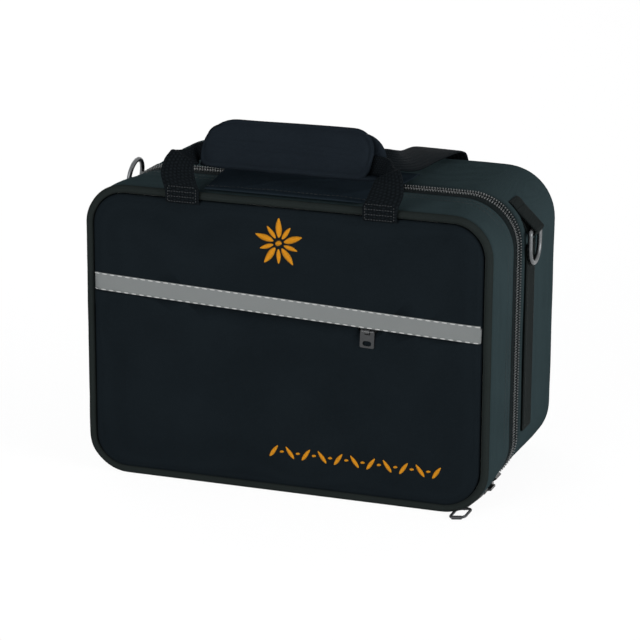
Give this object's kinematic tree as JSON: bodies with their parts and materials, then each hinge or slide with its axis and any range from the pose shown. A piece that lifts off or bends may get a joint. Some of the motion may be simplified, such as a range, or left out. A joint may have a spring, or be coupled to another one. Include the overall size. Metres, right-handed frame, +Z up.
{
  "type": "pocket trumpet case",
  "caption": "Soft padded clamshell case with a zip round it, twin handle loops in a wrap grip, strap rings, a front pocket and fitted foam wells inside.",
  "frame": {"origin": "on the floor under the closed case, midway across its width and its depth", "axes": "+X to the right seen from the front, +Y to the back, +Z up"},
  "size_m": [0.3152, 0.1883, 0.2617],
  "materials": {
    "shell_fabric": "woven nylon with a soft sheen over thin padding, dark grey-green",
    "front_fabric": "tightly woven near-black nylon over padding",
    "piping": "bead of bias-cut fabric round a cord, near black",
    "foam_board": "stiff light foam board, hidden in the wall",
    "lining_plush": "short-pile plush, dark",
    "binding": "woven edge tape, black",
    "foam": "plush-covered soft foam",
    "zip_tape": "woven zip tape, black",
    "zip_coil": "moulded nylon coil teeth, black",
    "zip_metal": "black lacquered die casting",
    "pull_tab": "moulded soft black plastic",
    "reflective": "silver-grey retroreflective fabric tape",
    "webbing": "ribbed woven webbing, near black",
    "grip": "padded fabric with a bound edge, near black",
    "steel": "nickel-plated wire"
  },
  "bodies": {
    "rear_half": {"rear_cover": "shell_fabric", "rear_core": "foam_board", "rear_lining": "lining_plush", "rear_rim_binding": "binding", "instrument_cradle": "foam", "rear_zip_tape": "zip_tape", "rear_zip_coil": "zip_coil", "side_strap_left": "webbing", "side_strap_right": "webbing", "d_ring_tab_left": "webbing", "d_ring_tab_right": "webbing", "rear_handle_tabs": "webbing"},
    "lid": {"lid_gusset": "shell_fabric", "lid_core": "foam_board", "lid_lining": "lining_plush", "lid_pad": "foam", "lid_rim_binding": "binding", "piping_bead": "piping", "front_panel": "shell_fabric", "upper_panel": "front_fabric", "pocket_panel": "front_fabric", "pocket_zip_tape": "zip_tape", "pocket_zip_coil": "zip_coil", "reflective_tape": "reflective", "lid_zip_tape": "zip_tape", "lid_zip_coil": "zip_coil", "zip_end_stops": "zip_metal", "hinge_strip": "shell_fabric", "zip_guard_flap": "shell_fabric", "front_handle_tabs": "webbing"},
    "front_handle": {"front_handle_loop": "webbing", "grip_pad": "grip"},
    "grip_front": {"grip_flap": "grip"},
    "rear_handle": {"rear_handle_loop": "webbing"},
    "right_ring": {"d_ring_right": "steel"},
    "left_ring": {"d_ring_left": "steel"},
    "main_slider": {"main_zip_slider": "zip_metal"},
    "main_puller": {"main_zip_puller": "zip_metal", "main_zip_pull_tab": "pull_tab"},
    "pocket_slider": {"pocket_zip_slider": "zip_metal"},
    "pocket_puller": {"pocket_zip_puller": "zip_metal"}
  },
  "joints": [
    {"name": "lid_hinge", "type": "hinge", "parent": "rear_half", "child": "lid", "pos_m": [0, -0.003, 0], "axis": [1, 0, 0], "range_deg": [0, 110]},
    {"name": "front_handle_fold", "type": "hinge", "parent": "lid", "child": "front_handle", "pos_m": [-0.0024, -0.0894, 0.2165], "axis": [1, 0, 0], "range_deg": [0, 150]},
    {"name": "grip_flap_fold", "type": "hinge", "parent": "front_handle", "child": "grip_front", "pos_m": [-0.005, -0.06893, 0.23574], "axis": [1, 0, 0], "range_deg": [0, 90]},
    {"name": "rear_handle_fold", "type": "hinge", "parent": "rear_half", "child": "rear_handle", "pos_m": [-0.0024, 0.0894, 0.2122], "axis": [-1, 0, 0], "range_deg": [0, 175]},
    {"name": "right_ring_swing", "type": "hinge", "parent": "rear_half", "child": "right_ring", "pos_m": [0.154, 0.0085, 0.1855], "axis": [0, -1, 0], "range_deg": [0, 188]},
    {"name": "left_ring_swing", "type": "hinge", "parent": "rear_half", "child": "left_ring", "pos_m": [-0.154, 0.0085, 0.1855], "axis": [0, -1, 0], "range_deg": [0, 188]},
    {"name": "main_slider_run", "type": "hinge", "parent": "lid", "child": "main_slider", "pos_m": [0.113, -0.018, 0.037], "axis": [0, -1, 0], "range_deg": [0, 55]},
    {"name": "main_puller_swing", "type": "hinge", "parent": "main_slider", "child": "main_puller", "pos_m": [0.1354, -0.0272, 0.00245], "axis": [0.9914, 0, 0.1305], "range_deg": [0, 90]},
    {"name": "pocket_slider_run", "type": "slide", "parent": "lid", "child": "pocket_slider", "axis": [0.9993, 0, -0.0384], "range_m": [-0.18, 0.055]},
    {"name": "pocket_puller_swing", "type": "hinge", "parent": "pocket_slider", "child": "pocket_puller", "pos_m": [0.06263, -0.0891, 0.12704], "axis": [-0.9993, 0, 0.0384], "range_deg": [0, 150]}
  ]
}
